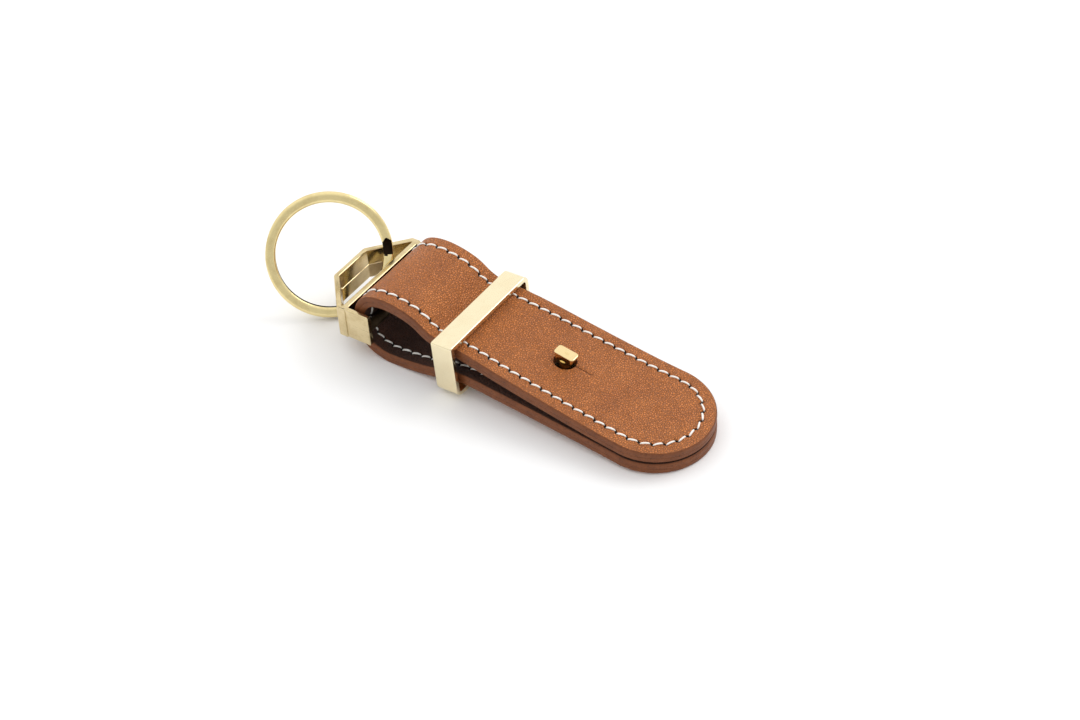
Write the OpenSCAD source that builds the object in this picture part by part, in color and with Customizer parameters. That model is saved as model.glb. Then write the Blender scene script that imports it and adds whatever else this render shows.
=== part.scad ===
// Folded leather key fob: a double-layer stitched strap is folded round the rear bar of a
// cast trapezoid frame, held together by a rectangular slider and a button stud, with a
// split ring through the frame.
// X runs along the strap to its rounded tip, Y across it, Z up from the table.

/* [Strap] */
// Thickness of one leather layer; each flap has two
layer_t = 1.35; // [1.0:0.05:1.4]
// Width of the strap at its rounded tip
tip_w = 27; // [26:0.1:27]
// Width of the strap at the fold
fold_w = 24.4; // [23:0.1:24.4]
// Place along X of the centre of the tip's arc
tip_arc_x = 42.3; // [41.9:0.1:42.4]
// Distance of the stitch line from the edge
stitch_inset = 3; // [2:0.1:3.2]
// Width of the thread
thread_w = 0.45; // [0.3:0.05:0.6]
// Thickness of the thread
thread_t = 0.25; // [0.15:0.05:0.3]

/* [Frame] */
// Overall width of the frame at the rear columns
frame_w = 28.4; // [27.8:0.1:28.6]
// Width of the frame at the ring end
frame_end_w = 11; // [9:0.1:12]
// Height of the frame
frame_h = 7.9; // [7:0.1:8.2]
// Thickness of the frame's walls
frame_wall = 1.25; // [1:0.05:1.4]
// Diameter of the rear bar that the strap is folded round
bar_d = 2.4; // [2:0.1:2.5]
// Nose-down tilt of the frame
frame_tilt = 1; // [0:0.5:1.5]

/* [Slider] */
// Outer width of the slider
slider_w = 29.2; // [29.1:0.1:30]
// Outer height of the slider
slider_h = 13.9; // [13.8:0.1:14.2]
// Length of the slider along the strap
slider_l = 5.5; // [5:0.1:5.6]
// Wall thickness of the slider
slider_wall = 1.15; // [1:0.05:1.2]
// Lean of the slider towards the frame
slider_lean = 3.3; // [2.5:0.1:3.5]

/* [Stud] */
// Place of the stud along X
stud_x = 19.6; // [19.3:0.1:19.9]
// Length of the stud's head along the strap
head_l = 5.1; // [4.8:0.1:5.2]
// Width of the stud's head
head_w = 2.7; // [2.4:0.1:2.9]
// Diameter of the button hole
button_hole_d = 5.5; // [5.3:0.1:5.7]

/* [Split ring] */
// Outer diameter of the split ring
ring_d = 28.8; // [28.4:0.1:28.9]
// Width of the ring's flat wire
wire_w = 2.3; // [2:0.1:2.4]
// Thickness of the wire of one turn
wire_t = 1.05; // [0.9:0.05:1.1]

/* [Hidden] */
$fn = 64;

big = 60;
groove_t = 0.3;
groove_w = thread_w + 0.1;
hinge_gap = 0.25;
// The strap widens quickly from the first of these places to the second, then slowly
taper_x = -2;
shoulder_x = 10;
shoulder_w = 25.6;

// Side view of the strap: the seam between its two layers, from the lower flap's tip,
// round the fold and back to the upper flap's tip
seam_points = [
    [56, 1.3], [45, 1.85], [37, 2.6], [27, 3.4], [18, 4.1], [9, 4.65], [2, 4.8], [-3, 4.15],
    [-7, 2.9], [-12, 1.95], [-17, 1.45], [-20.6, 1.5], [-24.2, 3], [-26.3, 6], [-26.8, 9.2],
    [-26.2, 12.7], [-24, 15.5], [-20.3, 16.6], [-16, 16.4], [-11.8, 15.2], [-8, 12.8],
    [-4.6, 11.75], [-1, 11.6], [3, 11.15], [8, 10.35], [13, 9.5], [19, 8.5], [28, 7.1],
    [37, 5.85], [46, 5], [56, 4.25]];
seam_steps = 4;
// The upper flap beyond this point of the seam lifts as the tab
hinge_point = 24;
hinge_x = seam_points[hinge_point][0];
hinge_z = seam_points[hinge_point][1];

// Frame: the rear bar's axis is the origin of the frame's own outline
bar_x = -24;
bar_z = 8.6;
plate_end_x = 1.2;
plate_recess = 0.25;
crossbar_x = [-6.4, -4.9];
column_x = [-7.1, -5];
frame_end_x = -14.6;

slider_x = -2;
slider_z = 7.7;
slider_corner = 2.2;
slider_top_corner = 0.7;
slider_inner_corner = 0.5;

// Stud: its axis is square to the lower flap, and its head leans on a little more
stud_tilt = 4.5;
head_pitch = 4.5;
stud_base_z = 5.4;
boss_d = 3;
flange_d = 6.4;
flange_t = 0.9;
neck_d = 2.8;
head_rise = 4.6;
head_t = 2.2;
screw_drop = 2.85;
screw_head_d = 5.6;
screw_head_t = 0.8;
screw_shank_d = 1.7;

// Split ring
ring_centre = [-42.85, -1.4, 13.4];
ring_lean = 63.6;
ring_turn = -50.16;
ring_start = 98;
ring_jog = 26;
ring_gap = 0.06;
ring_step = 6;

function bend(a, b, c, d, t) =
    0.5 * (2 * b + (c - a) * t + (2 * a - 5 * b + 4 * c - d) * t * t
           + (3 * b - a - 3 * c + d) * t * t * t);
function smooth(p, n) =
    let (last = len(p) - 1)
    [for (i = [0:last - 1], k = [0:n - 1])
        bend(p[max(i - 1, 0)], p[i], p[i + 1], p[min(i + 2, last)], k / n), p[last]];
function beside(p, d) =
    let (last = len(p) - 1)
    [for (i = [0:last]) let (t = p[min(i + 1, last)] - p[max(i - 1, 0)])
        p[i] + d * [-t[1], t[0]] / norm(t)];
function slice(p, a, b) = [for (i = [a:b]) p[i]];
function reversed(p) = [for (i = [len(p) - 1:-1:0]) p[i]];

seam = smooth(seam_points, seam_steps);
split = hinge_point * seam_steps;
tip_end = len(seam) - 1;
hinge_slope = atan2(seam[split + 1][1] - seam[split - 1][1],
                    seam[split + 1][0] - seam[split - 1][0]);

// Closed side view of a layer between two distances outside the seam
module ribbon(a, b, first, last) {
    polygon(concat(slice(beside(seam, a), first, last),
                   reversed(slice(beside(seam, b), first, last))));
}

module across(w) {
    rotate([90, 0, 0]) linear_extrude(w, center = true) children();
}

// Plan of the strap, drawn in from its edge by inset; back is how far it runs to -X
module plan(inset, back) {
    r = tip_w / 2 - inset;
    half = fold_w / 2 - inset;
    mid = shoulder_w / 2 - inset;
    polygon([[-back, -half], [taper_x, -half], [shoulder_x, -mid], [tip_arc_x, -r],
             [tip_arc_x, r], [shoulder_x, mid], [taper_x, half], [-back, half]]);
    translate([tip_arc_x, 0]) circle(r, $fn = 96);
}

module stitch_rail(w) {
    difference() {
        plan(stitch_inset - w / 2, 32);
        plan(stitch_inset + w / 2, 34);
    }
}

module stand(h) {
    translate([0, 0, -h / 2]) linear_extrude(h) children();
}

// A layer of leather: side view by plan, less its stitch groove
module leather(a, b, groove_a, groove_b, first, last) {
    difference() {
        intersection() {
            across(big) ribbon(a, b, first, last);
            stand(big) plan(0, 32);
        }
        intersection() {
            across(big) ribbon(groove_a, groove_b, 0, tip_end);
            stand(big) stitch_rail(groove_w);
        }
    }
}

module thread(a, b, first, last) {
    intersection() {
        across(big) ribbon(a, b, first, last);
        stand(big) stitch_rail(thread_w);
    }
}

module at_hinge() {
    translate([hinge_x, 0, hinge_z]) children();
}

// Round hollow in the fixed part of the upper flap, where the tab turns
module hinge_hollow() {
    at_hinge() rotate([90, 0, 0]) cylinder(r = layer_t + hinge_gap, h = big, center = true);
}

// Round end of one layer of the tab; side is 1 for the outer layer and -1 for the lining
module tab_end(side) {
    intersection() {
        at_hinge() rotate([90, 0, 0]) cylinder(r = layer_t, h = fold_w + 4, center = true);
        at_hinge() rotate([0, -hinge_slope, 0]) translate([-2, 0, side * big / 2])
            cube([4, big, big], center = true);
        stand(big) plan(0, 32);
    }
}

module at_stud() {
    translate([stud_x, 0, stud_base_z]) rotate([0, stud_tilt, 0]) children();
}

// Hole through the lower flap for the stud's boss
module boss_hole() {
    at_stud() translate([0, 0, -5]) cylinder(d = boss_d + 0.2, h = 5.5);
}

// Button hole in the tab, with its slit spread open towards the tip
module button_hole() {
    at_stud() translate([0, 0, 0.9]) {
        cylinder(d = button_hole_d, h = 6);
        translate([0, -(head_w + 0.6) / 2, 0]) cube([6.9, head_w + 0.6, 6]);
    }
}

module outer_leather() {
    color("sienna") difference() {
        leather(0, layer_t, layer_t - groove_t, layer_t + 0.2, 0, split);
        hinge_hollow();
        boss_hole();
    }
}

module outer_leather_tab() {
    color("sienna") difference() {
        union() {
            leather(0, layer_t, layer_t - groove_t, layer_t + 0.2, split, tip_end);
            tab_end(1);
        }
        button_hole();
    }
}

module lining_leather() {
    color("peru") difference() {
        leather(-layer_t, 0, -layer_t - 0.2, -layer_t + groove_t, 0, split);
        hinge_hollow();
        boss_hole();
    }
}

module lining_leather_tab() {
    color("peru") difference() {
        union() {
            leather(-layer_t, 0, -layer_t - 0.2, -layer_t + groove_t, split, tip_end);
            tab_end(-1);
        }
        button_hole();
    }
}

module outer_thread() {
    color("ivory") thread(layer_t - groove_t, layer_t - groove_t + thread_t,
                          0, split - seam_steps / 2);
}

module outer_thread_tab() {
    color("ivory") thread(layer_t - groove_t, layer_t - groove_t + thread_t,
                          split + seam_steps / 2, tip_end);
}

module lining_thread() {
    color("ivory") thread(-layer_t + groove_t - thread_t, -layer_t + groove_t,
                          0, split - seam_steps / 2);
}

module lining_thread_tab() {
    color("ivory") thread(-layer_t + groove_t - thread_t, -layer_t + groove_t,
                          split + seam_steps / 2, tip_end);
}

// Block that narrows downwards, with rounded corners in plan
module stud_head() {
    r = 0.7;
    intersection() {
        across(big) polygon([[-head_l / 2 + 0.7, 0], [head_l / 2 - 0.7, 0],
                             [head_l / 2, head_t], [-head_l / 2, head_t]]);
        rotate([90, 0, 90]) linear_extrude(big, center = true)
            polygon([[-head_w / 2 + 0.25, 0], [head_w / 2 - 0.25, 0],
                     [head_w / 2, head_t], [-head_w / 2, head_t]]);
        linear_extrude(head_t) {
            square([head_l - 2 * r, head_w], center = true);
            square([head_l, head_w - 2 * r], center = true);
            for (x = [-1, 1], y = [-1, 1])
                translate([x * (head_l / 2 - r), y * (head_w / 2 - r)]) circle(r, $fn = 32);
        }
    }
}

module button_stud() {
    color("gold") at_stud() difference() {
        union() {
            translate([0, 0, -2.6]) cylinder(d = boss_d, h = 2.7);
            translate([0, 0, 0.05]) cylinder(d = flange_d, h = flange_t);
            cylinder(d = neck_d, h = head_rise + 0.5);
            translate([0, 0, head_rise]) rotate([0, head_pitch, 0]) stud_head();
        }
        translate([0, 0, -3]) cylinder(d = screw_shank_d + 0.1, h = 4.5);
    }
}

module stud_screw() {
    color("gold") at_stud() translate([0, 0, -screw_drop]) difference() {
        union() {
            translate([0, 0, -screw_head_t]) cylinder(d = screw_head_d, h = screw_head_t);
            cylinder(d = screw_shank_d, h = 4);
        }
        translate([-screw_head_d, -0.35, -screw_head_t - 0.1]) cube([2 * screw_head_d, 0.7, 0.5]);
    }
}

// Rectangle w by h about the origin, with corner radii lo below and hi above
module keeper_outline(w, h, lo, hi) {
    for (s = [-1, 1]) {
        translate([s * (w / 2 - lo), -h / 2 + lo]) circle(lo);
        translate([s * (w / 2 - hi), h / 2 - hi]) circle(hi);
    }
    translate([-w / 2 + lo, -h / 2]) square([w - 2 * lo, h / 2]);
    translate([-w / 2, -h / 2 + lo]) square([w, h - lo - hi]);
    translate([-w / 2 + hi, 0]) square([w - 2 * hi, h / 2]);
}

module slider() {
    color("gold") translate([slider_x, 0, slider_z]) rotate([0, -slider_lean, 0])
        rotate([90, 0, 90]) linear_extrude(slider_l, center = true) difference() {
            keeper_outline(slider_w, slider_h, slider_corner, slider_top_corner);
            keeper_outline(slider_w - 2 * slider_wall, slider_h - 2 * slider_wall,
                           slider_inner_corner, 0.3);
        }
}

leg_angle = atan2((frame_w - frame_end_w) / 2, column_x[0] - frame_end_x);

// Half width of the trapezoid's outside at x
function leg_y(x) = frame_end_w / 2 + (x - frame_end_x) * tan(leg_angle);

module frame_outline() {
    y = frame_w / 2;
    polygon([[frame_end_x, -frame_end_w / 2], [column_x[0], -y], [column_x[1], -y],
             [column_x[1], -y + plate_recess], [plate_end_x, -y + plate_recess],
             [plate_end_x, y - plate_recess], [column_x[1], y - plate_recess],
             [column_x[1], y], [column_x[0], y], [frame_end_x, frame_end_w / 2]]);
}

module frame() {
    inner_x = frame_end_x + frame_wall;
    inner_drop = frame_wall / cos(leg_angle);
    plate_y = frame_w / 2 - frame_wall - plate_recess;
    color("gold") translate([bar_x, 0, bar_z]) rotate([0, -frame_tilt, 0]) {
        stand(frame_h) difference() {
            frame_outline();
            polygon([[inner_x, -leg_y(inner_x) + inner_drop],
                     [crossbar_x[0], -leg_y(crossbar_x[0]) + inner_drop],
                     [crossbar_x[0], leg_y(crossbar_x[0]) - inner_drop],
                     [inner_x, leg_y(inner_x) - inner_drop]]);
            translate([crossbar_x[1], -plate_y]) square([20, 2 * plate_y]);
        }
        rotate([90, 0, 0]) cylinder(d = bar_d, h = frame_w - 1.2, center = true);
    }
}

// Flat wire that makes nearly two turns and steps down by its own thickness near the middle
ring_sweep = 720 - ring_jog;
ring_level = wire_t + ring_gap;

// Height of the wire after it has turned through a
function ring_rise(a) =
    a < 360 - ring_jog ? ring_level :
    a > 360 ? 0 :
    ring_level * (1 + cos(180 * (a - 360 + ring_jog) / ring_jog)) / 2;

// Corners of the wire's section, chamfered
wire_section = [for (s = [[1, 0.3], [1, -0.3], [0.8, -0.5], [-0.8, -0.5],
                          [-1, -0.3], [-1, 0.3], [-0.8, 0.5], [0.8, 0.5]])
                [s[0] * wire_w / 2, s[1] * wire_t]];

module split_ring() {
    sides = len(wire_section);
    turns = floor(ring_sweep / ring_step);
    middle = (ring_d - wire_w) / 2;
    points = [for (i = [0:turns], p = wire_section)
        let (a = i * ring_sweep / turns)
        [(middle + p[0]) * cos(a), (middle + p[0]) * sin(a),
         ring_rise(a) - ring_level / 2 + p[1]]];
    walls = [for (i = [0:turns - 1], k = [0:sides - 1])
        let (n = (k + 1) % sides)
        [i * sides + k, i * sides + n, (i + 1) * sides + n, (i + 1) * sides + k]];
    start = [[for (k = [sides - 1:-1:0]) k]];
    end = [[for (k = [0:sides - 1]) turns * sides + k]];
    color("gold") translate(ring_centre) rotate([0, 0, ring_turn]) rotate([0, ring_lean, 0])
        rotate([0, 0, ring_start]) polyhedron(points, concat(start, walls, end));
}

outer_leather();
outer_leather_tab();
lining_leather();
lining_leather_tab();
outer_thread();
outer_thread_tab();
lining_thread();
lining_thread_tab();
button_stud();
stud_screw();
slider();
frame();
split_ring();
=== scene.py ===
import math
import random

import bmesh
import bpy
import numpy as np
from mathutils import Matrix, Vector


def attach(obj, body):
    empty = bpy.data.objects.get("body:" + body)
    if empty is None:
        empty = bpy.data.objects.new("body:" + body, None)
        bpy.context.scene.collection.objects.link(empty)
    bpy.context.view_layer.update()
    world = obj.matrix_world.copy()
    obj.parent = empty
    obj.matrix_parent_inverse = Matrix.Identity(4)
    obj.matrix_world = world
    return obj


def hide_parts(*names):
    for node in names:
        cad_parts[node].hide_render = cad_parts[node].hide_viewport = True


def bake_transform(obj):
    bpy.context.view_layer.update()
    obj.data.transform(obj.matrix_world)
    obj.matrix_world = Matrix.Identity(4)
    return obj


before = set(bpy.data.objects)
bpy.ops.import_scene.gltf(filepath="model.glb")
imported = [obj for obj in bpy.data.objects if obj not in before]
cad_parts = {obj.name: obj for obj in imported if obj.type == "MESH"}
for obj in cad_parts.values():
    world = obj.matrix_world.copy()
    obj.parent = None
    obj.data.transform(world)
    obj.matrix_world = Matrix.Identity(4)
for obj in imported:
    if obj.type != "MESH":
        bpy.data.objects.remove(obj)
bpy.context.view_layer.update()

MM = 0.001

# ---------------------------------------------------------------- strap, all in millimetres
LAYER_T = 1.35                      # one leather layer; each flap has two
TIP_R = 13.5                        # half the strap's width at its rounded tip
FOLD_HALF = 12.2                    # half its width from the fold to the slider
WIDTH_X = (-2.0, 10.0, 42.3)        # places along X where the half width is given
WIDTHS = (FOLD_HALF, 12.8, TIP_R)   # the half widths there
ARC_X = WIDTH_X[2]                  # centre of the tip's arc
STITCH_IN = 3.0                     # stitch line to the edge
PITCH = 2.8                         # stitch length
ARC_STITCHES = 12
SLANT = 0.24                        # sideways offset of a stitch's ends
THREAD_R = 0.21
APEX = 14                           # seam point at the back of the fold, behind the crossbar
INNER, MIDDLE = 9.0, 10.0           # insets past INNER are shares of the way to the middle line

# Side view of the seam between the layers, (x, z) from the lower tip round the fold
SEAM = np.array([
    (56, 1.3), (45, 1.85), (37, 2.6), (27, 3.4), (18, 4.1), (9, 4.65), (2, 4.8), (-3, 4.15),
    (-7, 2.9), (-12, 1.95), (-17, 1.45), (-20.6, 1.5), (-24.2, 3), (-26.3, 6), (-26.8, 9.2),
    (-26.2, 12.7), (-24, 15.5), (-20.3, 16.6), (-16, 16.4), (-11.8, 15.2), (-8, 12.8),
    (-4.6, 11.75), (-1, 11.6), (3, 11.15), (8, 10.35), (13, 9.5), (19, 8.5), (28, 7.1),
    (37, 5.85), (46, 5), (56, 4.25)], float)

# Relief of the leather's surface
EDGE_ROLL, SEAM_TUCK = 0.42, 0.08   # radii of the rolled outer edge and of the tucked inner one
LINE_SINK, HOLE_SINK = 0.09, 0.5    # depth of the stitch groove and of the needle holes
SWELL, CREASE = 0.035, 0.03         # unevenness all over, and creasing beside the slider
RIM_SINK = 0.12                     # dip round the button hole
CREASE_IN, CREASE_OUT = (-14, -5), (3, 15)      # the flap is creased from one to the other
# Insets of the surface's rows: the plain part, and offsets from the stitch line outwards
PLAIN_ROWS = (8, 7, 6, 5.3)
LINE_ROWS = (1.7, 1.1, 0.7, 0.45, 0.3, 0.15, 0, -0.15, -0.3, -0.45, -0.7, -1.1, -1.6, -2.1)
STITCH_GAP, STITCH_RUN = 0.12, 0.76 # where a stitch starts and how long it is, in pitches
STITCH_SINK, STITCH_ARCH = 0.34, 0.42           # its ends below the surface, and its rise

# ---------------------------------------------------------------- hardware, in millimetres
BAR = Vector((-24.0, 0.0, 8.6))
FRAME_TILT = 1.0
FRAME_H, FRAME_W, FRAME_END_W = 7.9, 28.4, 11.0
FRAME_WALL, FRAME_END_X = 1.25, -14.6
CROSSBAR_X, COLUMN_X = (-6.4, -4.9), (-7.1, -5.0)
PLATE_END, PLATE_RECESS, BAR_R = 1.2, 0.25, 1.2

SLIDER_AT, SLIDER_LEAN = Vector((-2.0, 0.0, 7.7)), 3.3
SLIDER_W, SLIDER_H, SLIDER_L, SLIDER_WALL = 29.2, 13.9, 5.5, 1.15

STUD_AT, STUD_TILT, HEAD_PITCH = Vector((19.6, 0.0, 5.4)), 4.5, 4.5
HEAD_RISE = 4.6
HOLE_R, SLIT_END, SLIT_W = 2.6, 6.9, 0.14

RING_AT, RING_LEAN, RING_TURN, RING_START = Vector((-42.85, -1.4, 13.4)), 63.6, -50.16, 98.0
RING_D, WIRE_W, WIRE_T, RING_GAP, RING_JOG = 28.8, 2.3, 1.05, 0.06, 26.0
GROOVE_SHADE, GROOVE_INSIDE = 0.3, 0.02  # heights on the wire's section past which the groove between the turns takes painted shade
STEP_SHADE = 15.0                        # degrees of the ring, at the wire's end, whose step takes a painted dark reflection
WIRE_INSIDE, STEP_INSIDE = -0.4 * WIRE_W, -0.08 * WIRE_W    # limits across the section of the painted shade and painted dark reflection
WIRE_ROUNDNESS = 0.8                     # 1 is an ellipse, 0 a rectangle
NOTCH, NOTCH_TAPER = 5.0, 6.0            # depth of the V cut in the wire's ends and its run, degrees


def rotation(degrees, axis):
    return Matrix.Rotation(math.radians(degrees), 4, axis)


# ---------------------------------------------------------------- mesh helpers
def mesh_object(name, points, faces, materials, place=None, sharp=None, face_slots=None):
    """A mesh in millimetres, moved by place and scaled to metres, with shared smooth shading."""
    me = bpy.data.meshes.new(name)
    pts = np.asarray(points, float)
    me.from_pydata([tuple(p) for p in pts], [], faces)
    for material in materials:
        me.materials.append(material)
    if face_slots is not None:
        me.polygons.foreach_set("material_index", face_slots)
    me.transform(Matrix.Scale(MM, 4) @ (place or Matrix.Identity(4)))
    bm = bmesh.new()
    bm.from_mesh(me)
    bmesh.ops.recalc_face_normals(bm, faces=bm.faces)
    bm.to_mesh(me)
    bm.free()
    me.shade_smooth()
    if sharp:
        me.set_sharp_from_angle(angle=math.radians(sharp))
    ob = bpy.data.objects.new(name, me)
    bpy.context.collection.objects.link(ob)
    return ob


def crisp(ob):
    """Keeps flat faces flat up to their bevels."""
    ob.modifiers.new("normals", "WEIGHTED_NORMAL").keep_sharp = True
    return ob


def carve(ob, cutter):
    """Cuts a closed piece out of ob, and applies it."""
    cut = ob.modifiers.new("carve", "BOOLEAN")
    cut.operation, cut.solver, cut.object = "DIFFERENCE", "EXACT", cutter
    cut.material_mode = "TRANSFER"
    dg = bpy.context.evaluated_depsgraph_get()
    me = bpy.data.meshes.new_from_object(ob.evaluated_get(dg))
    ob.modifiers.clear()
    old, ob.data = ob.data, me
    bpy.data.meshes.remove(old)
    bpy.data.objects.remove(cutter)
    return ob


def grid_faces(rows, columns, closed_rows=False, closed_columns=False):
    """Quads of a grid stored row by row."""
    faces = []
    for i in range(rows if closed_rows else rows - 1):
        for j in range(columns if closed_columns else columns - 1):
            a, b = i * columns + j, i * columns + (j + 1) % columns
            n = (i + 1) % rows
            faces.append((a, b, n * columns + (j + 1) % columns, n * columns + j))
    return faces


def fillet(points, radii, steps=6):
    """A closed outline with each corner rounded, as an array of points."""
    out, n = [], len(points)
    for i, (p, r) in enumerate(zip(points, radii)):
        p = np.array(p, float)
        a, b = np.array(points[i - 1], float) - p, np.array(points[(i + 1) % n], float) - p
        a, b = a / np.linalg.norm(a), b / np.linalg.norm(b)
        half = math.acos(max(-1.0, min(1.0, float(a @ b)))) / 2
        if r <= 0 or abs(half - math.pi / 2) < 1e-3:
            out.append(p)
            continue
        reach = r / math.tan(half)
        centre = p + (a + b) / np.linalg.norm(a + b) * r / math.sin(half)
        first, last = p + a * reach - centre, p + b * reach - centre
        turn = math.atan2(first[0] * last[1] - first[1] * last[0], float(first @ last))
        for k in range(steps + 1):
            c, s = math.cos(turn * k / steps), math.sin(turn * k / steps)
            out.append(centre + np.array((c * first[0] - s * first[1], s * first[0] + c * first[1])))
    return np.array(out)


def outward(points):
    """Mitred normals of a closed outline; they point out of a counter-clockwise one."""
    before, after = points - np.roll(points, 1, 0), np.roll(points, -1, 0) - points
    m = np.stack((before[:, 1], -before[:, 0]), 1) / np.linalg.norm(before, axis=1)[:, None]
    n = np.stack((after[:, 1], -after[:, 0]), 1) / np.linalg.norm(after, axis=1)[:, None]
    return (m + n) / (1 + (m * n).sum(1))[:, None]


def casting(name, contours, materials, place, dark):
    """A plate shape cast with soft rims. contours are (points, weights, levels), holes clockwise;
    levels are (height, growth, ridge), and ridge counts by each point's weight. Faces whose
    middle dark picks out take the second material."""
    points, faces, rims, start = [], [], ([], []), 0
    for outline, weights, levels in contours:
        n, normals = len(outline), outward(outline)
        for height, growth, ridge in levels:
            ring = outline + normals * (growth + ridge * weights)[:, None]
            points += [(x, y, height) for x, y in ring]
        faces += [tuple(start + k for k in f) for f in grid_faces(len(levels), n, False, True)]
        rims[0].append([start + k for k in range(n)])
        rims[1].append([start + (len(levels) - 1) * n + k for k in range(n)])
        start += len(levels) * n
    bm = bmesh.new()
    verts = [bm.verts.new(p) for p in points]
    for f in faces:
        bm.faces.new([verts[k] for k in f])
    for side in rims:
        edges = [bm.edges.get((verts[loop[k]], verts[loop[(k + 1) % len(loop)]]))
                 for loop in side for k in range(len(loop))]
        bmesh.ops.triangle_fill(bm, use_beauty=True, use_dissolve=False, edges=edges)
    bmesh.ops.recalc_face_normals(bm, faces=bm.faces)
    for f in bm.faces:
        f.material_index = int(dark(f.calc_center_median()))
    me = bpy.data.meshes.new(name)
    bm.to_mesh(me)
    bm.free()
    for material in materials:
        me.materials.append(material)
    me.transform(Matrix.Scale(MM, 4) @ place)
    me.shade_smooth()
    me.set_sharp_from_angle(angle=math.radians(38))
    ob = bpy.data.objects.new(name, me)
    bpy.context.collection.objects.link(ob)
    return crisp(ob)


def turned(name, profile, materials, place, sides=64, sharp=38):
    """A turned piece: profile is (radius, height) from the bottom axis to the top axis."""
    rows = profile[1:-1]
    points = [(r * math.cos(2 * math.pi * k / sides), r * math.sin(2 * math.pi * k / sides), z)
              for r, z in rows for k in range(sides)]
    faces = grid_faces(len(rows), sides, False, True)
    faces.append(tuple(range(sides)))
    faces.append(tuple((len(rows) - 1) * sides + k for k in range(sides)))
    return crisp(mesh_object(name, points, faces, materials, place, sharp))


# ---------------------------------------------------------------- the strap's own frame
def seam_at(u):
    """Place and outside normal on the seam, in side view, at parameter u."""
    u = np.clip(np.asarray(u, float), 0, len(SEAM) - 1)
    i = np.minimum(u.astype(int), len(SEAM) - 2)
    t = (u - i)[..., None]
    a, b, c = SEAM[np.maximum(i - 1, 0)], SEAM[i], SEAM[i + 1]
    d = SEAM[np.minimum(i + 2, len(SEAM) - 1)]
    k2, k3 = 2 * a - 5 * b + 4 * c - d, 3 * b - a - 3 * c + d
    place = 0.5 * (2 * b + (c - a) * t + k2 * t**2 + k3 * t**3)
    run = 0.5 * ((c - a) + 2 * k2 * t + 3 * k3 * t**2)
    run /= np.linalg.norm(run, axis=-1)[..., None]
    return place, np.stack((-run[..., 1], run[..., 0]), -1)


class Flap:
    """Half of the strap, from the back of the fold to a tip. A place on it is q, stitches
    along the stitch line from the fold, near edge first, then round the tip and back along
    the far edge; d, millimetres in from the edge; and n, millimetres outside the seam."""

    def __init__(self, end):
        u = np.linspace(APEX, end, 6001)
        side = seam_at(u)[0]
        run = np.concatenate(([0], np.cumsum(np.linalg.norm(np.diff(side, axis=0), axis=1))))
        flat = side[:, 0] > -20
        first = int(np.argmax(flat))
        self.u, self.run = u, run
        self.flat_x, self.flat_u = side[first:, 0], u[first:]
        self.x = side[:, 0]
        self.straight = float(np.interp(ARC_X, self.flat_x, run[first:]))
        self.count = round(self.straight / PITCH)
        self.stitches = 2 * self.count + ARC_STITCHES

    def half_width(self, q):
        """Half the strap's width at q; the tip's radius counts as it."""
        folded = np.where(q > self.count + ARC_STITCHES / 2, self.stitches - q, q)
        along = np.minimum(folded, self.count) * self.straight / self.count
        x = np.interp(along, self.run, self.x)
        return np.interp(x, WIDTH_X, WIDTHS)

    def inset(self, q, d):
        """Spreads d between INNER and MIDDLE over what is left of the half width."""
        share = np.clip(d - INNER, 0, 1)
        return np.where(d > INNER, INNER + share * (self.half_width(q) - INNER), d)

    def place(self, q, d, n):
        q, d, n = np.broadcast_arrays(*(np.asarray(v, float) for v in (q, d, n)))
        far = q > self.count + ARC_STITCHES / 2
        folded = np.where(far, self.stitches - q, q)
        along = np.minimum(folded, self.count) * self.straight / self.count
        u_line = np.interp(along, self.run, self.u)
        half = self.half_width(q)
        angle = np.clip((folded - self.count) / ARC_STITCHES, 0, 1) * math.pi
        reach = np.maximum(TIP_R - d, 0)
        on_arc = folded > self.count
        u_arc = np.interp(ARC_X + reach * np.sin(angle), self.flat_x, self.flat_u)
        u = np.where(on_arc, u_arc, u_line)
        y = np.where(on_arc, -reach * np.cos(angle), -np.maximum(half - d, 0))
        y = np.where(far, -y, y)
        spot, out = seam_at(u)
        return np.stack((spot[..., 0] + n * out[..., 0], y, spot[..., 1] + n * out[..., 1]), -1)


LOWER, UPPER = Flap(0), Flap(len(SEAM) - 1)
# Places along a stitch where the leather has a column of points, closest at the needle holes
STATION_PHASES = (0.0, 0.07, 0.15, 0.26, 0.4, 0.6, 0.74, 0.85, 0.93)


def smoothstep(a, b, v):
    t = np.clip((v - a) / (b - a), 0, 1)
    return t * t * (3 - 2 * t)


def waves(x, y, seed, size, count=7):
    """Smooth seeded unevenness of about -1 to 1, with waves around size long."""
    pick = random.Random(seed)
    total = np.zeros(np.broadcast(x, y).shape)
    for _ in range(count):
        turn, phase = pick.uniform(0, math.pi), pick.uniform(0, 2 * math.pi)
        k = 2 * math.pi / (size * pick.uniform(0.7, 1.5))
        total += np.sin(k * (x * math.cos(turn) + y * math.sin(turn)) + phase)
    return total / math.sqrt(count)


def hole_depth(q, d):
    """1 in the needle holes between stitches, 0 away from them."""
    nearest = np.round(q)
    step = (q - nearest) * PITCH
    side = d - STITCH_IN + step * 0.9
    return np.exp(-(step / 0.42) ** 2 - (side / 0.34) ** 2)


def leather_relief(flap, q, d, pts, seed, outer):
    """Height of the leather's surface over its nominal one."""
    x, y = pts[..., 0], pts[..., 1]
    rest = -LINE_SINK * np.exp(-((d - STITCH_IN) / 0.5) ** 2)
    rest = rest - HOLE_SINK * hole_depth(q, d)
    rest += SWELL * waves(q * PITCH, y, seed, 9) * smoothstep(0, 2, d)
    if outer and flap is UPPER:
        crush = smoothstep(*CREASE_IN, x) * (1 - smoothstep(*CREASE_OUT, x))
        rest += CREASE * crush * waves(x * 1.6, y * 0.5, seed + 1, 3.2)
        away = np.hypot(x - STUD_AT.x - 0.3, y)
        rest += -RIM_SINK * (1 - smoothstep(HOLE_R - 0.1, HOLE_R + 0.5, away))
    return rest


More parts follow.
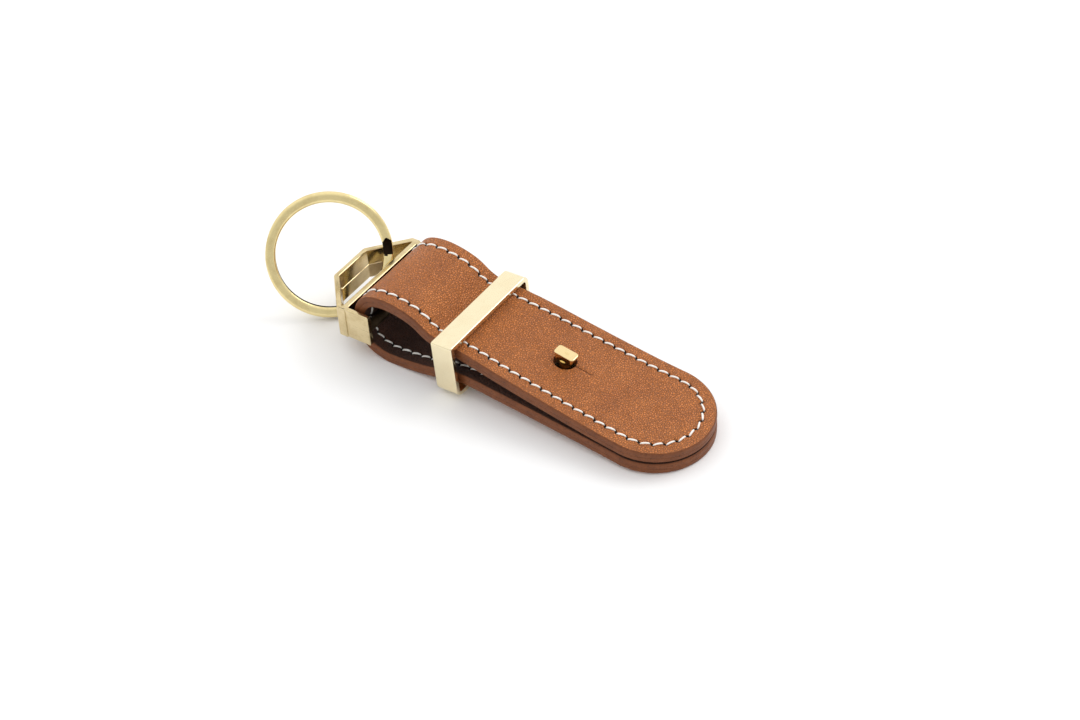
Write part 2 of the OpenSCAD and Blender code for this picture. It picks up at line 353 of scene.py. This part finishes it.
def corner(d0, n0, r, first, last, steps=4):
    """Quarter round between two directions, in (d, n)."""
    return [(d0 + r * math.cos(math.radians(first + (last - first) * k / steps)),
             n0 + r * math.sin(math.radians(first + (last - first) * k / steps)))
            for k in range(steps + 1)]


def leather_layer(name, flap, outer, seed, materials):
    """One leather layer of one flap, closed, with a rolled edge and needle holes."""
    t, roll, tuck = LAYER_T, EDGE_ROLL, SEAM_TUCK
    face = [(MIDDLE - k / 7, t) for k in range(8)]
    face += [(v, t) for v in PLAIN_ROWS]
    face += [(STITCH_IN + v, t) for v in LINE_ROWS]
    face += [(0.6, t)]
    face += corner(roll, t - roll, roll, 90, 180)
    face += [(-0.02, 0.65), (-0.01, 0.3)]
    face += corner(tuck, tuck, tuck, 180, 270, 2)
    face += [(0.8, 0), (3, 0), (6, 0), (INNER, 0), (MIDDLE - 0.5, 0), (MIDDLE, 0)]
    q = np.array([k + p for k in range(flap.stitches) for p in STATION_PHASES]
                 + [flap.stitches], float)
    d = flap.inset(q[None], np.array([p[0] for p in face])[:, None])
    n = np.array([p[1] for p in face])[:, None]
    rows, columns = len(face), len(q)
    base = flap.place(q[None], d, n * (1 if outer else -1))
    on_top = (n > t - roll) * smoothstep(t - roll, t, n)
    rise = leather_relief(flap, q[None], d, base, seed, outer)
    pts = flap.place(q[None], d, (n + rise * on_top) * (1 if outer else -1))
    last = columns - 1
    tip = flap.count * len(STATION_PHASES)

    def index(i, j):
        if i in (0, rows - 1):              # the middle line is shared by both halves
            j = min(j, last - j, tip)
        return i * columns + j

    faces, slots = [], []
    for i in range(rows - 1):
        painted = face[i][0] < 0.3 and face[i + 1][0] < 0.3 and face[i][1] < t
        for j in range(columns - 1):
            loop = [index(i, j), index(i, j + 1), index(i + 1, j + 1), index(i + 1, j)]
            loop = [v for k, v in enumerate(loop) if v != loop[k - 1]]
            if len(loop) > 2:
                faces.append(loop)
                slots.append(1 if painted else 0)
    near = [index(i, 0) for i in range(rows)]
    far = [index(i, last) for i in range(rows - 2, 0, -1)]
    faces.append(near + far)
    slots.append(1)
    used = sorted({v for f in faces for v in f})
    new = {v: k for k, v in enumerate(used)}
    pts = pts.reshape(-1, 3)[used]
    ob = mesh_object(name, pts, [tuple(new[v] for v in f) for f in faces], materials,
                     sharp=50, face_slots=slots)
    # Where the leather material paints shade into the needle holes
    holes = hole_depth(np.broadcast_to(q, (rows, columns)), d) * on_top
    shade = ob.data.attributes.new("needle", "FLOAT", "POINT")
    shade.data.foreach_set("value", holes.reshape(-1)[used].astype(np.float32))
    return ob


def stitches(name, flap, outer, seed, material):
    """The thread's visible loops, each from one needle hole to the next."""
    pick = random.Random(seed)
    sections, sides = 11, 8
    points, faces = [], []
    along = np.linspace(0, 1, sections)
    around = np.linspace(0, 2 * math.pi, sides, endpoint=False)
    for k in range(flap.stitches):
        shift = pick.uniform(-0.04, 0.04)
        lift = pick.uniform(-0.03, 0.03)
        fat = pick.uniform(0.94, 1.06)
        q = k + STITCH_GAP + STITCH_RUN * along
        d = STITCH_IN + shift - SLANT * (1 - 2 * along)
        height = LAYER_T - STITCH_SINK + (STITCH_ARCH + lift) * np.sin(math.pi * along) ** 0.4
        line = flap.place(q, d, height * (1 if outer else -1))
        up = flap.place(q, d, (height + 0.1) * (1 if outer else -1)) - line
        up /= np.linalg.norm(up, axis=1)[:, None]
        run = np.gradient(line, axis=0)
        run /= np.linalg.norm(run, axis=1)[:, None]
        side = np.cross(run, up)
        side /= np.linalg.norm(side, axis=1)[:, None]
        up = np.cross(side, run)
        r = THREAD_R * fat * (0.55 + 0.45 * np.sin(math.pi * along) ** 0.35)
        start = len(points)
        for i in range(sections):
            for a in around:
                points.append(line[i] + r[i] * (side[i] * math.cos(a) * 1.12 + up[i] * math.sin(a)))
        faces += [tuple(start + v for v in f) for f in grid_faces(sections, sides, False, True)]
        faces.append(tuple(start + v for v in range(sides)))
        faces.append(tuple(start + (sections - 1) * sides + v for v in range(sides)))
    return mesh_object(name, points, faces, [material])


# ---------------------------------------------------------------- materials
def new_material(name, colour, rough, metal=0.0):
    m = bpy.data.materials.new(name)
    m.use_nodes = True
    b = m.node_tree.nodes["Principled BSDF"]
    b.inputs["Base Color"].default_value = (*colour, 1)
    b.inputs["Roughness"].default_value = rough
    b.inputs["Metallic"].default_value = metal
    return m, m.node_tree, b


def add(tree, kind, **values):
    node = tree.nodes.new(kind)
    for key, value in values.items():
        if key in node.inputs:
            node.inputs[key].default_value = value
        else:
            setattr(node, key, value)
    return node


def ramp(tree, source, stops):
    node = tree.nodes.new("ShaderNodeValToRGB")
    for element, (position, colour) in zip(node.color_ramp.elements, (stops[0], stops[-1])):
        element.position = position
        element.color = (*colour, 1)
    for position, colour in stops[1:-1]:
        node.color_ramp.elements.new(position).color = (*colour, 1)
    tree.links.new(source, node.inputs["Fac"])
    return node.outputs["Color"]


def scale_value(tree, source, low, high):
    node = add(tree, "ShaderNodeMapRange")
    tree.links.new(source, node.inputs["Value"])
    node.inputs["To Min"].default_value, node.inputs["To Max"].default_value = low, high
    return node.outputs["Result"]


def mixed(tree, factor, a, b, blend="MIX"):
    node = tree.nodes.new("ShaderNodeMix")
    node.data_type, node.blend_type = "RGBA", blend
    if isinstance(factor, float):
        node.inputs[0].default_value = factor
    else:
        tree.links.new(factor, node.inputs[0])
    for socket, value in ((node.inputs[6], a), (node.inputs[7], b)):
        if isinstance(value, tuple):
            socket.default_value = (*value, 1)
        else:
            tree.links.new(value, socket)
    return node.outputs[2]


def bumped(tree, shader, layers):
    """Chains bumps: layers are (height socket, distance in metres, strength)."""
    last = None
    for height, distance, strength in layers:
        bump = add(tree, "ShaderNodeBump", Distance=distance, Strength=strength)
        tree.links.new(height, bump.inputs["Height"])
        if last:
            tree.links.new(last, bump.inputs["Normal"])
        last = bump.outputs["Normal"]
    tree.links.new(last, shader.inputs["Normal"])


def leather_material(name, light, dark, rough):
    """Full-grain leather: small rounded pebbles, fine creases, mottled dye, painted shade in the needle
    holes.
    """
    m, tree, shader = new_material(name, light, rough)
    where = add(tree, "ShaderNodeTexCoord").outputs["Object"]
    warp = add(tree, "ShaderNodeTexNoise", Scale=900.0, Detail=2.0)
    tree.links.new(where, warp.inputs["Vector"])
    push = tree.nodes.new("ShaderNodeVectorMath")
    push.operation = "MULTIPLY_ADD"
    tree.links.new(warp.outputs["Color"], push.inputs[0])
    push.inputs[1].default_value = (0.00035,) * 3
    tree.links.new(where, push.inputs[2])
    cells = add(tree, "ShaderNodeTexVoronoi", Scale=2100.0)
    cells.feature = "DISTANCE_TO_EDGE"
    tree.links.new(push.outputs[0], cells.inputs["Vector"])
    pebble = add(tree, "ShaderNodeMapRange")
    tree.links.new(cells.outputs["Distance"], pebble.inputs["Value"])
    pebble.inputs["From Max"].default_value = 0.22
    fine = add(tree, "ShaderNodeTexNoise", Scale=5200.0, Detail=3.0)
    tree.links.new(where, fine.inputs["Vector"])
    creases = add(tree, "ShaderNodeTexNoise", Scale=420.0, Detail=6.0, Roughness=0.65)
    tree.links.new(where, creases.inputs["Vector"])
    blotch = add(tree, "ShaderNodeTexNoise", Scale=160.0, Detail=4.0)
    tree.links.new(where, blotch.inputs["Vector"])
    tint = ramp(tree, blotch.outputs["Fac"], [(0.3, dark), (0.7, light)])
    pores = scale_value(tree, pebble.outputs["Result"], 0.58, 1.05)
    tint = mixed(tree, 1.0, tint, pores, "MULTIPLY")
    mottle = scale_value(tree, creases.outputs["Fac"], 0.80, 1.16)
    tint = mixed(tree, 1.0, tint, mottle, "MULTIPLY")
    # Painted shade in the needle holes, darkest where the needle attribute is high
    needle = add(tree, "ShaderNodeAttribute", attribute_name="needle").outputs["Fac"]
    clip = add(tree, "ShaderNodeMapRange")
    tree.links.new(needle, clip.inputs["Value"])
    clip.inputs["From Min"].default_value, clip.inputs["From Max"].default_value = 0.12, 0.45
    tint = mixed(tree, clip.outputs["Result"], tint, (0.012, 0.006, 0.004))
    tree.links.new(tint, shader.inputs["Base Color"])
    tree.links.new(scale_value(tree, creases.outputs["Fac"], rough - 0.1, rough + 0.12),
                   shader.inputs["Roughness"])
    shader.inputs["Specular IOR Level"].default_value = 0.42
    bumped(tree, shader, [(creases.outputs["Fac"], 0.0007, 0.9),
                          (pebble.outputs["Result"], 0.00020, 1.0),
                          (fine.outputs["Fac"], 0.00004, 0.7)])
    return m


def edge_material(name, colour, worn):
    """Painted leather edge: satin coat with small pits and paler rubbed places."""
    m, tree, shader = new_material(name, colour, 0.5)
    shader.inputs["Specular IOR Level"].default_value = 0.3
    where = add(tree, "ShaderNodeTexCoord").outputs["Object"]
    rubbed = add(tree, "ShaderNodeTexNoise", Scale=420.0, Detail=5.0, Roughness=0.7)
    pits = add(tree, "ShaderNodeTexNoise", Scale=2600.0, Detail=2.0)
    for node in (rubbed, pits):
        tree.links.new(where, node.inputs["Vector"])
    tint = ramp(tree, rubbed.outputs["Fac"], [(0.35, colour), (0.75, worn)])
    dirt = ramp(tree, pits.outputs["Fac"], [(0.28, (0.45, 0.42, 0.4)), (0.42, (1, 1, 1))])
    tree.links.new(mixed(tree, 1.0, tint, dirt, "MULTIPLY"), shader.inputs["Base Color"])
    tree.links.new(scale_value(tree, rubbed.outputs["Fac"], 0.42, 0.6), shader.inputs["Roughness"])
    bumped(tree, shader, [(rubbed.outputs["Fac"], 0.00015, 0.5), (pits.outputs["Fac"], 0.00004, 0.6)])
    return m


def thread_material():
    """Waxed cream thread with its plies twisted."""
    m, tree, shader = new_material("thread_cream", (0.93, 0.91, 0.86), 0.55)
    where = add(tree, "ShaderNodeTexCoord").outputs["Object"]
    twist = add(tree, "ShaderNodeTexWave", Scale=900.0, Distortion=1.5)
    twist.bands_direction = "DIAGONAL"
    fuzz = add(tree, "ShaderNodeTexNoise", Scale=2500.0, Detail=3.0)
    for node in (twist, fuzz):
        tree.links.new(where, node.inputs["Vector"])
    tint = ramp(tree, fuzz.outputs["Fac"], [(0.3, (0.86, 0.82, 0.74)), (0.6, (0.96, 0.94, 0.90))])
    tree.links.new(tint, shader.inputs["Base Color"])
    bumped(tree, shader, [(twist.outputs["Fac"], 0.00004, 0.5), (fuzz.outputs["Fac"], 0.00003, 0.4)])
    shader.inputs["Sheen Weight"].default_value = 0.15
    return m


def gold_material(name, colour, tarnish, rough, spots, grain):
    """Plated cast metal: spots is how far the tint wanders, grain the depth of its unevenness."""
    m, tree, shader = new_material(name, colour, rough, 1.0)
    where = add(tree, "ShaderNodeTexCoord").outputs["Object"]
    cloud = add(tree, "ShaderNodeTexNoise", Scale=300.0, Detail=5.0, Roughness=0.6)
    fine = add(tree, "ShaderNodeTexNoise", Scale=1700.0, Detail=4.0, Roughness=0.7)
    for node in (cloud, fine):
        tree.links.new(where, node.inputs["Vector"])
    tint = ramp(tree, cloud.outputs["Fac"], [(0.5 - spots, tarnish), (0.55, colour)])
    tree.links.new(tint, shader.inputs["Base Color"])
    tree.links.new(scale_value(tree, fine.outputs["Fac"], rough * 0.6, rough * 1.5),
                   shader.inputs["Roughness"])
    bumped(tree, shader, [(cloud.outputs["Fac"], grain, 0.4),
                          (fine.outputs["Fac"], grain * 0.25, 0.35)])
    return m


TAN = leather_material("leather_tan", (0.66, 0.212, 0.048), (0.56, 0.172, 0.038), 0.44)
# The lining is the same tan leather darkened to painted shade, as inside the loop
TAN_LINING_PAINTED_SHADE = leather_material("leather_tan_lining_painted_shade", (0.10, 0.032, 0.014), (0.065, 0.021, 0.010), 0.7)
EDGE = edge_material("leather_edge_paint", (0.145, 0.042, 0.011), (0.22, 0.070, 0.022))
THREAD = thread_material()
CHAMPAGNE = gold_material("gold_champagne", (0.89, 0.78, 0.53), (0.87, 0.755, 0.505), 0.15, 0.12, 0.000004)
CAST_GOLD = gold_material("gold_cast", (0.72, 0.59, 0.35), (0.60, 0.475, 0.26), 0.20, 0.16, 0.000006)
RING_GOLD = gold_material("gold_ring", (0.84, 0.70, 0.36), (0.72, 0.58, 0.28), 0.18, 0.2, 0.00002)
# Near-black metal: painted shade and painted dark reflection, on the crossbar's rear face by the leather
# and in the split ring's groove and step
PAINTED_SHADE_GOLD = gold_material("gold_painted_shade", (0.02, 0.013, 0.008), (0.012, 0.008, 0.005), 0.6, 0.1, 0.00003)
# The rear bar inside the loop is coloured near-black: painted shade
BAR_PAINTED_SHADE_GOLD = gold_material("gold_bar_painted_shade", (0.13, 0.09, 0.05), (0.08, 0.055, 0.03), 0.5, 0.1, 0.00003)
STUD_GOLD = gold_material("gold_polished", (0.86, 0.68, 0.36), (0.80, 0.60, 0.28), 0.10, 0.1, 0.000005)

# ---------------------------------------------------------------- leather and thread
at_stud = Matrix.Translation(STUD_AT) @ rotation(STUD_TILT, "Y")


def hole_cutter(radius, low, high):
    rings = [(radius * math.cos(a), radius * math.sin(a), z) for z in (low, high)
             for a in np.linspace(0, 2 * math.pi, 72, endpoint=False)]
    faces = grid_faces(2, 72, False, True) + [tuple(range(72)), tuple(range(72, 144))]
    return mesh_object("cutter", rings, faces, [EDGE], at_stud)


def slit_cutter(low, high):
    outline = [(HOLE_R - 0.6, -SLIT_W / 2), (SLIT_END - 0.5, -SLIT_W / 2), (SLIT_END, 0),
               (SLIT_END - 0.5, SLIT_W / 2), (HOLE_R - 0.6, SLIT_W / 2)]
    points = [(x, y, z) for z in (low, high) for x, y in outline]
    n = len(outline)
    faces = grid_faces(2, n, False, True) + [tuple(range(n)), tuple(range(n, 2 * n))]
    return mesh_object("cutter", points, faces, [EDGE], at_stud)


for part, flap, role in (("strap", LOWER, "ride"), ("tab", UPPER, "blend")):
    for layer, outer, skin in (("outer", True, TAN), ("lining", False, TAN_LINING_PAINTED_SHADE)):
        hide = leather_layer(f"{part}_{layer}_leather", flap, outer, 3 + outer, [skin, EDGE])
        if flap is UPPER:
            carve(hide, hole_cutter(HOLE_R, 0.9, 7))
            carve(hide, slit_cutter(0.9, 7))
        else:
            carve(hide, hole_cutter(1.6, -5, 0.5))
        sewn = stitches(f"{part}_{layer}_stitches", flap, outer, 7 + outer, THREAD)
        suffix = "" if part == "strap" else "_tab"
        for ob, cad, finish in ((hide, f"{layer}_leather{suffix}", f"{layer}_leather"),
                                (sewn, f"{layer}_thread{suffix}", "thread")):
            if role == "ride":
                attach(ob, "strap")
            else:
                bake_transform(ob)
            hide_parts(cad)


# ---------------------------------------------------------------- slider
def band(name, outline_outer, outline_inner, length, bevel, materials, place):
    """A closed band round the strap with soft edges, its wall between two outlines (y, z)."""
    wall = float(np.linalg.norm(outline_outer[0] - outline_inner[0]))
    half, e, f = length / 2, bevel, bevel * 0.6
    section = [(-half + e, 0), (half - e, 0)]
    section += [(half - e * (1 - math.sin(a)), e * (1 - math.cos(a)))
                for a in (0.4, 0.8, 1.2, math.pi / 2)]
    section += [(half, wall - f)]
    section += [(half - f * (1 - math.cos(a)), wall - f * (1 - math.sin(a)))
                for a in (0.5, 1.05, math.pi / 2)]
    section += [(-x, b) for x, b in reversed(section[2:])]
    rows = []
    for x, b in section:
        yz = outline_outer + (outline_inner - outline_outer) * (b / wall)
        rows += [(x, y, z) for y, z in yz]
    faces = grid_faces(len(section), len(outline_outer), True, True)
    return crisp(mesh_object(name, rows, faces, materials, place, 38))


def box_corners(w, h):
    return [(-w / 2, -h / 2), (w / 2, -h / 2), (w / 2, h / 2), (-w / 2, h / 2)]


slider_place = Matrix.Translation(SLIDER_AT) @ rotation(-SLIDER_LEAN, "Y")
outer_line = fillet(box_corners(SLIDER_W, SLIDER_H), (2.2, 2.2, 1.7, 0.5), 10)
inner_line = fillet(box_corners(SLIDER_W - 2 * SLIDER_WALL, SLIDER_H - 2 * SLIDER_WALL),
                    (0.5, 0.5, 0.6, 0.3), 10)
slider = band("slider_band", outer_line, inner_line, SLIDER_L, 0.26, [CHAMPAGNE], slider_place)
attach(slider, "slider")
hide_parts("slider")

# ---------------------------------------------------------------- frame
frame_place = Matrix.Translation(BAR) @ rotation(-FRAME_TILT, "Y")
leg_angle = math.atan2((FRAME_W - FRAME_END_W) / 2, COLUMN_X[0] - FRAME_END_X)


def leg_y(x):
    return FRAME_END_W / 2 + (x - FRAME_END_X) * math.tan(leg_angle)


def mirrored(points):
    """A half outline (x, y) with y below 0, closed by its mirror image."""
    return points + [(x, -y) for x, y in reversed(points)]


side_y = FRAME_W / 2
inner_plate = side_y - FRAME_WALL - PLATE_RECESS
half_out = [(FRAME_END_X, -FRAME_END_W / 2), (COLUMN_X[0], -side_y), (COLUMN_X[1], -side_y),
            (COLUMN_X[1] + 0.05, -side_y + PLATE_RECESS), (PLATE_END, -side_y + PLATE_RECESS),
            (PLATE_END, -inner_plate), (CROSSBAR_X[1], -inner_plate)]
half_radii = [0.9, 0.5, 0.12, 0.05, 0.3, 0.15, 0.25]
outline = fillet(mirrored(half_out), half_radii + half_radii[::-1], 5)
inner_x = FRAME_END_X + FRAME_WALL
drop = FRAME_WALL / math.cos(leg_angle)
opening = [(inner_x, -leg_y(inner_x) + drop), (CROSSBAR_X[0], -leg_y(CROSSBAR_X[0]) + drop)]
opening = fillet(mirrored(opening)[::-1], (0.12, 0.12, 0.12, 0.12), 4)
on_plate = ((outline[:, 0] > COLUMN_X[1] + 0.3) & (abs(outline[:, 1]) > inner_plate + 0.3)) * 1.0
h, rim = FRAME_H / 2, 0.34
rise = [(h - rim, 0.0, 0), (h - rim * 0.62, -0.03, 0), (h - rim * 0.29, -0.1, 0),
        (h - rim * 0.08, -0.21, 0), (h, -rim, 0)]
spine = [(-0.09, 0.0, 0.0), (-0.05, 0.0, 0.05), (0.05, 0.0, 0.05), (0.09, 0.0, 0.0)]
levels = [(-z, g, r) for z, g, r in reversed(rise)] + spine + rise
drafted = [(-z, g, 0.16 * (1 - z / h), 0) for z, g, r in reversed(rise)]
drafted += [(-0.10, 0.0, 0.17, 0), (-0.04, 0.0, 0.25, 0), (0.04, 0.0, 0.25, 0), (0.10, 0.0, 0.17, 0)]
drafted += [(z, g, 0.16 * (1 - z / h), 0) for z, g, r in rise]
drafted = [(z, g + extra, ridge) for z, g, extra, ridge in drafted]
# The crossbar's rear face, towards the leather, takes the second material: painted shade and a painted
# dark reflection of the gap
frame_body = casting("frame_casting", [(outline, on_plate, levels),
                                       (opening, np.ones(len(opening)), drafted)],
                     [CAST_GOLD, PAINTED_SHADE_GOLD], frame_place,
                     dark=lambda c: c[0] > CROSSBAR_X[1] - 0.05 and c[0] < CROSSBAR_X[1] + 0.1
                     and abs(c[1]) < inner_plate)
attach(frame_body, "frame")
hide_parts("frame")

bar_half = FRAME_W / 2 - PLATE_RECESS - FRAME_WALL * 0.5
bar = turned("frame_rear_bar", [(0, -bar_half), (BAR_R - 0.1, -bar_half), (BAR_R, -bar_half + 0.1),
                                (BAR_R, bar_half - 0.1), (BAR_R - 0.1, bar_half), (0, bar_half)],
             [BAR_PAINTED_SHADE_GOLD], frame_place @ rotation(90, "X"), 48)
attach(bar, "frame")


# ---------------------------------------------------------------- stud
def stud_head_rows():
    """(height, half length, half width, corner radius) from the underside to the top."""
    return [(0.0, 1.9, 1.0, 0.45), (0.1, 2.06, 1.12, 0.5), (0.25, 2.14, 1.17, 0.55),
            (1.2, 2.36, 1.26, 0.62), (1.8, 2.49, 1.32, 0.68), (1.95, 2.53, 1.345, 0.7),
            (2.06, 2.55, 1.35, 0.7), (2.14, 2.5, 1.3, 0.66), (2.19, 2.42, 1.22, 0.6),
            (2.2, 2.3, 1.1, 0.5), (2.16, 2.18, 0.98, 0.42), (2.17, 2.0, 0.8, 0.3)]


rows, count = [], 0
for z, a, b, r in stud_head_rows():
    loop = fillet([(-a, -b), (a, -b), (a, b), (-a, b)], (r,) * 4, 8)
    count = len(loop)
    rows += [(x, y, z) for x, y in loop]
levels_in_head = len(stud_head_rows())
head_faces = grid_faces(levels_in_head, count, False, True)
head_faces += [tuple(range(count)), tuple((levels_in_head - 1) * count + k for k in range(count))]
head = crisp(mesh_object("stud_head", rows, head_faces, [STUD_GOLD],
                         at_stud @ Matrix.Translation((0, 0, HEAD_RISE)) @ rotation(HEAD_PITCH, "Y"), 38))
post = turned("stud_post", [(0, -2.6), (1.4, -2.6), (1.5, -2.5), (1.5, 0.05), (3.05, 0.05), (3.2, 0.2),
                            (3.2, 0.75), (3.05, 0.92), (1.75, 0.95), (1.5, 1.05), (1.4, 1.3),
                            (1.4, HEAD_RISE + 0.3), (0, HEAD_RISE + 0.3)], [STUD_GOLD], at_stud)
for ob in (head, post):
    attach(ob, "strap")
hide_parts("button_stud")


# ---------------------------------------------------------------- split ring
def wire_section(corners=5):
    """Rounded flat wire: (radial, height) round its section."""
    w, t = WIRE_W / 2, WIRE_T / 2
    turn = np.linspace(0, 2 * math.pi, 6 * corners, endpoint=False)
    c, s = np.cos(turn), np.sin(turn)
    return np.stack((w * np.sign(c) * abs(c) ** WIRE_ROUNDNESS,
                     t * np.sign(s) * abs(s) ** WIRE_ROUNDNESS), 1)


def ring_has_painted_shade(a, r, z):
    """Whether the wire takes painted shade at angle a and place (r, z) on its section: painted shade in
    the groove between the turns, and a painted dark reflection on the step where one turn goes down beside
    the wire's end."""
    stepping = 360 - STEP_SHADE < a < 360
    towards_other = -z if a < 360 - RING_JOG / 2 else z
    groove = GROOVE_INSIDE if r < WIRE_INSIDE else GROOVE_SHADE
    return towards_other > groove or (stepping and z > GROOVE_SHADE and r < STEP_INSIDE)


section = wire_section()
sweep, level, middle = 720 - RING_JOG, WIRE_T + RING_GAP, (RING_D - WIRE_W) / 2
steps = 420
points = []
for i in range(steps + 1):
    a = sweep * i / steps
    if a < 360 - RING_JOG:
        up = level
    elif a > 360:
        up = 0
    else:
        up = level * (1 + math.cos(math.pi * (a - 360 + RING_JOG) / RING_JOG)) / 2
    near_end = min(a, sweep - a)
    for r, z in section:
        v = NOTCH * (1 - abs(r) / (WIRE_W / 2)) * max(0.0, 1 - near_end / NOTCH_TAPER)
        at = math.radians(a + (v if a < sweep / 2 else -v))
        points.append(((middle + r) * math.cos(at), (middle + r) * math.sin(at), up - level / 2 + z))
faces = grid_faces(steps + 1, len(section), False, True)
faces += [tuple(range(len(section))), tuple(steps * len(section) + k for k in range(len(section)))]
# Faces with painted shade and painted dark reflection; the wire's two end faces take it too
painted_shade_faces = [ring_has_painted_shade(sweep * (i + 0.5) / steps, *((section[k] + section[(k + 1) % len(section)]) / 2))
         for i in range(steps) for k in range(len(section))] + [True, True]
ring_place = (Matrix.Translation(RING_AT) @ rotation(RING_TURN, "Z") @ rotation(RING_LEAN, "Y")
              @ rotation(RING_START, "Z"))
ring = mesh_object("split_ring_wire", points, faces, [RING_GOLD, PAINTED_SHADE_GOLD], ring_place, 50,
                   [int(dark) for dark in painted_shade_faces])
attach(ring, "split_ring")
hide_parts("split_ring")

# ---------------------------------------------------------------- carried-over CAD node
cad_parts["stud_screw"].data.materials.clear()
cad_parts["stud_screw"].data.materials.append(STUD_GOLD)

# ---------------------------------------------------------------- floor, light, camera
bpy.ops.mesh.primitive_plane_add(size=4, location=(0, 0, -0.00005))
floor = bpy.context.object
floor.name = "floor"
floor.data.materials.append(new_material("paper_white", (0.97, 0.97, 0.97), 0.9)[0])

world = bpy.data.worlds.new("studio")
world.use_nodes = True
bpy.context.scene.world = world
sky = world.node_tree


def glow(direction, start, end, low, high):
    """Brightness that changes from low to high with the angle towards a direction."""
    dot = sky.nodes.new("ShaderNodeVectorMath")
    dot.operation = "DOT_PRODUCT"
    sky.links.new(sky_direction, dot.inputs[0])
    dot.inputs[1].default_value = Vector(direction).normalized()
    fade = add(sky, "ShaderNodeMapRange", interpolation_type="SMOOTHSTEP")
    sky.links.new(dot.outputs["Value"], fade.inputs["Value"])
    for socket, value in zip(("From Min", "From Max", "To Min", "To Max"), (start, end, low, high)):
        fade.inputs[socket].default_value = value
    return fade.outputs["Result"]


sky_direction = add(sky, "ShaderNodeTexCoord").outputs["Generated"]
dome = glow((-0.35, 0.45, 0.82), -0.2, 0.85, 0.84, 1.14)
flag = glow((0.62, -0.74, 0.25), 0.80, 0.98, 1.0, 0.86)
product = sky.nodes.new("ShaderNodeMath")
product.operation = "MULTIPLY"
sky.links.new(dome, product.inputs[0])
sky.links.new(flag, product.inputs[1])
sky.links.new(product.outputs[0], sky.nodes["Background"].inputs["Strength"])
sky.nodes["Background"].inputs["Color"].default_value = (1, 1, 1, 1)


def softbox(name, at, aim, size, power):
    data = bpy.data.lights.new(name, "AREA")
    data.shape, data.size, data.size_y, data.energy = "RECTANGLE", size[0], size[1], power
    ob = bpy.data.objects.new(name, data)
    ob.location = at
    ob.rotation_mode = "QUATERNION"
    ob.rotation_quaternion = (Vector(aim) - Vector(at)).to_track_quat("-Z", "Y")
    bpy.context.collection.objects.link(ob)


softbox("key", (0.30, 0.50, 0.62), (0, 0, 0), (0.4, 0.4), 1.6)

VIEW_AZIMUTH, VIEW_ELEVATION, VIEW_ROLL = 36.80, 41.95, 3.67
CAMERA_AT, LENS, SENSOR = (0.2672, -0.3396, 0.3879), 87.5, 36.0
az, el, roll = (math.radians(v) for v in (VIEW_AZIMUTH, VIEW_ELEVATION, VIEW_ROLL))
back = Vector((math.sin(az) * math.cos(el), -math.cos(az) * math.cos(el), math.sin(el)))
level_right = Vector((math.cos(az), math.sin(az), 0))
level_up = back.cross(level_right)
right = level_right * math.cos(roll) - level_up * math.sin(roll)
up = level_up * math.cos(roll) + level_right * math.sin(roll)
camera = bpy.data.objects.new("camera", bpy.data.cameras.new("camera"))
camera.data.lens, camera.data.sensor_width = LENS, SENSOR
camera.data.clip_start, camera.data.clip_end = 0.01, 10
camera.matrix_world = Matrix((*zip(right, up, back, CAMERA_AT), (0, 0, 0, 1)))
bpy.context.collection.objects.link(camera)
bpy.context.scene.camera = camera
bpy.context.scene.view_settings.view_transform = "Standard"
